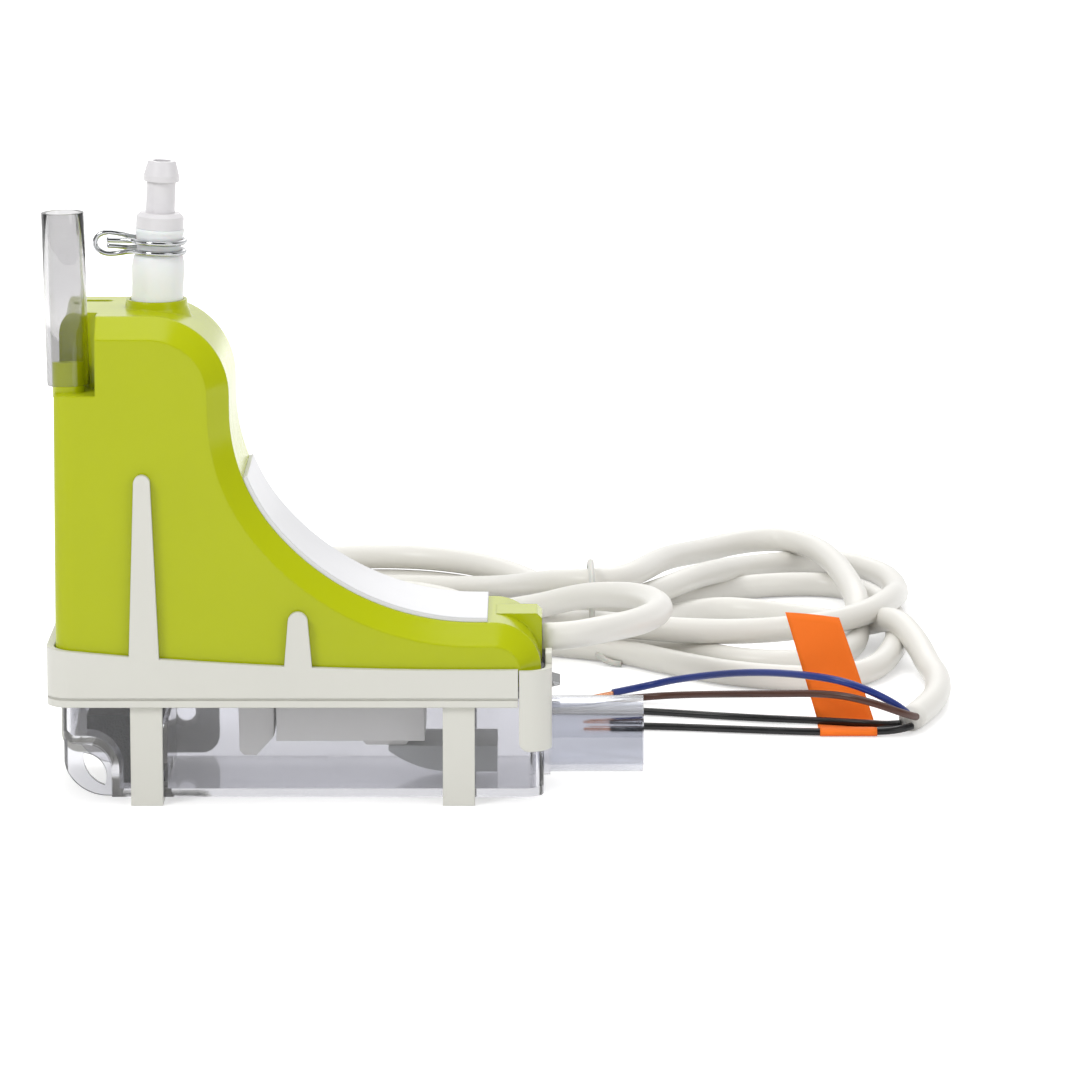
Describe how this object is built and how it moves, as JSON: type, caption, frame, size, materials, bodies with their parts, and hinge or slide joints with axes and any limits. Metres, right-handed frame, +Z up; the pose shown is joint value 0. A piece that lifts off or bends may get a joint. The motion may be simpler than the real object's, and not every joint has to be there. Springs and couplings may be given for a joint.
{
  "type": "condensate pump",
  "caption": "Condensate pump: a clear float reservoir and a lime green covered piston pump held in a white wall cradle, with a coiled white lead",
  "frame": {"origin": "On the surface that the cradle's straps stand on, under the middle of the pump between its ends and its front and back.", "axes": "+X along the pump towards its inlet, +Y towards the wall that the cradle is fixed to, +Z up."},
  "size_m": [0.1999, 0.2511, 0.1358],
  "materials": {
    "cradle_white": "satin",
    "tank_clear": "gloss",
    "foam_black": "matte",
    "magnet_steel": "satin",
    "base_white": "satin",
    "seal_rubber": "matte",
    "cover_green": "gloss",
    "panel_white": "satin",
    "mesh_grey": "matte",
    "hose_white": "satin",
    "adaptor_white": "satin",
    "wire_steel": "satin",
    "tube_clear": "gloss",
    "lead_white": "satin",
    "core_blue": "satin",
    "core_brown": "satin",
    "core_black": "satin",
    "copper_bare": "satin",
    "label_orange": "matte",
    "tie_clear": "satin",
    "copper_winding": "satin",
    "board_green": "satin",
    "part_black": "satin"
  },
  "bodies": {
    "cradle": {"wall_cradle": "cradle_white", "lead_hank": "lead_white", "lead_tail": "lead_white", "core_blue": "core_blue", "core_brown": "core_brown", "core_black_1": "core_black", "core_black_2": "core_black", "bare_ends": "copper_bare", "cable_tie": "tie_clear", "flag_label": "label_orange"},
    "pump": {"reservoir": "tank_clear", "pump_base": "base_white", "base_seal": "seal_rubber", "pump_cover": "cover_green", "cover_panel": "panel_white", "inlet_filter": "mesh_grey", "rubber_mounts": "seal_rubber", "solenoid_yoke": "magnet_steel", "coil_bobbin": "part_black", "coil_winding": "copper_winding", "pump_cylinder": "wire_steel", "lower_spring": "wire_steel", "upper_spring": "wire_steel", "inlet_valve": "base_white", "outlet_valve": "base_white", "suction_hose": "hose_white", "level_sensor": "part_black", "circuit_board": "board_green", "board_parts": "part_black", "cover_screws": "wire_steel", "discharge_hose": "hose_white", "discharge_adaptor": "adaptor_white", "hose_clip": "wire_steel", "breather_tube": "tube_clear", "cable_gland": "seal_rubber", "lead_start": "lead_white"},
    "end_clip": {"end_clip": "cradle_white"},
    "float": {"float": "foam_black", "float_magnet": "magnet_steel"},
    "piston": {"piston": "wire_steel"}
  },
  "joints": [
    {"name": "pump_lift", "type": "slide", "parent": "cradle", "child": "pump", "axis": [0, 0, 1], "range_m": [0, 0.032]},
    {"name": "clip_pull", "type": "slide", "parent": "pump", "child": "end_clip", "axis": [1, 0, 0], "range_m": [0, 0.008]},
    {"name": "float_rise", "type": "slide", "parent": "pump", "child": "float", "axis": [0, 0, 1], "range_m": [0, 0.0065]},
    {"name": "piston_stroke", "type": "slide", "parent": "pump", "child": "piston", "axis": [0, 0, 1], "range_m": [-0.0015, 0.0015], "stiffness_N_per_m": 400, "deforming": ["lower_spring", "upper_spring"]}
  ]
}
